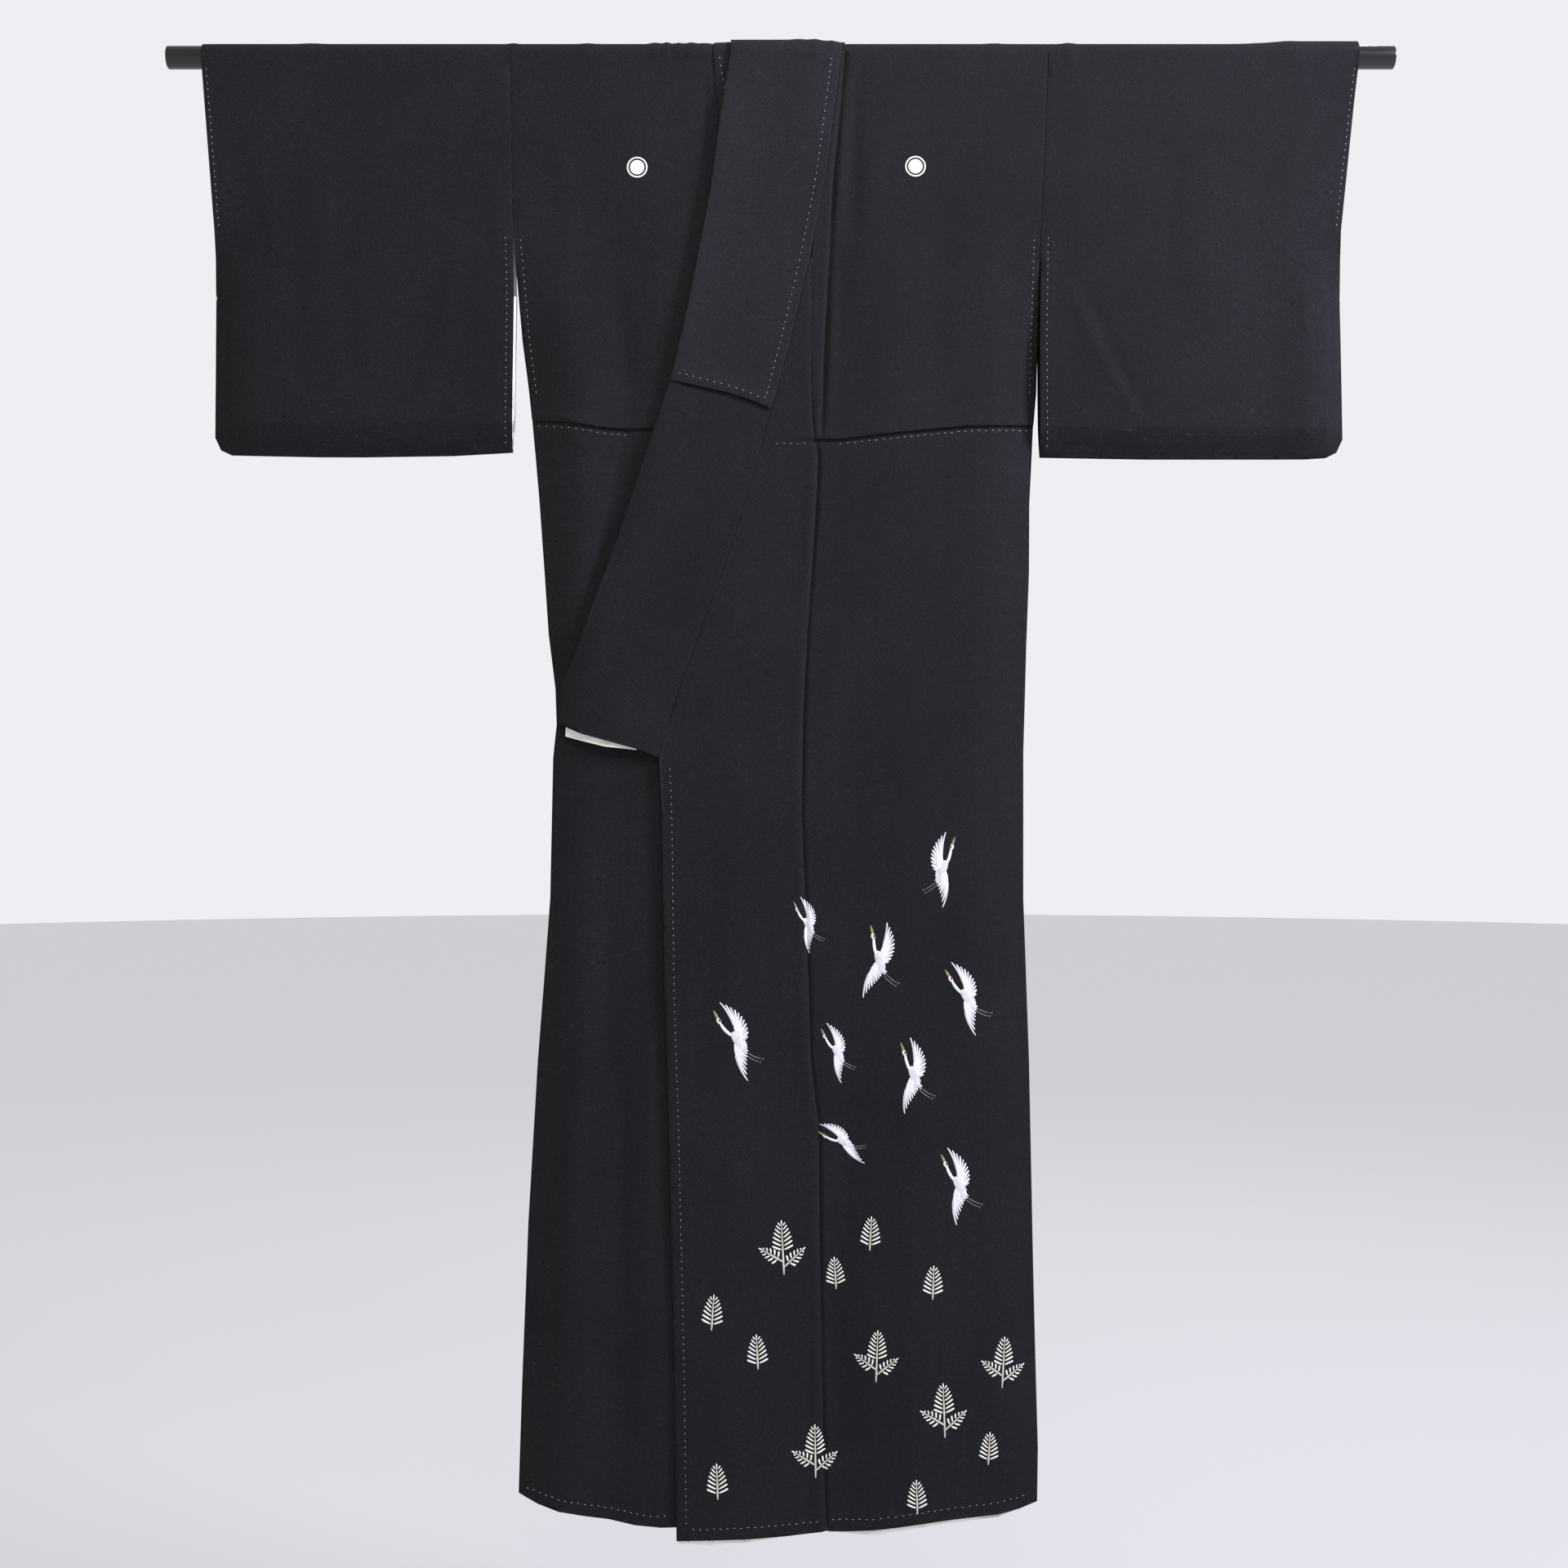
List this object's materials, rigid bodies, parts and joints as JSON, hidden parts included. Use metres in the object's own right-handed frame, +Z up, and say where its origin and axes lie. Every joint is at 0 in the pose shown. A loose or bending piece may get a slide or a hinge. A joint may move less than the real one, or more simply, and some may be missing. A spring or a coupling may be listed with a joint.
{
  "type": "kurotomesode kimono on a rod",
  "caption": "Formal black kimono, left front lapped over right, hung flat by both sleeves and shoulders on a round black rod.",
  "frame": {"origin": "middle of the rod's axis, which holds the garment up", "axes": "+Z up, -Y out of the front of the garment, +X towards the wearer's left sleeve along the rod"},
  "size_m": [1.36, 0.0411, 1.664],
  "materials": {
    "black_crepe": "matt silk crepe",
    "white_silk": "plain white silk",
    "black_rod": "gloss black",
    "white_dye": "undyed cloth left white",
    "silver_thread": "satin-stitched and brushed figures",
    "basting_thread": "tacking thread"
  },
  "bodies": {
    "root": {"rod": "black_rod", "body_right_upper": "black_crepe", "body_right_lower_front": "black_crepe", "body_right_lower_back": "black_crepe", "body_left_upper": "black_crepe", "body_left_lower_front": "black_crepe", "body_left_lower_back": "black_crepe", "okumi_right": "black_crepe", "okumi_left": "black_crepe", "sleeve_right": "black_crepe", "sleeve_left": "black_crepe", "collar_right": "black_crepe", "collar_left": "black_crepe", "collar_back": "black_crepe", "over_collar_right": "black_crepe", "over_collar_left": "black_crepe", "over_collar_back": "black_crepe", "hem_lining_overlap": "white_silk", "hem_lining_body": "white_silk", "collar_end_lining": "white_silk", "sleeve_lining_right": "white_silk"}
  },
  "joints": []
}
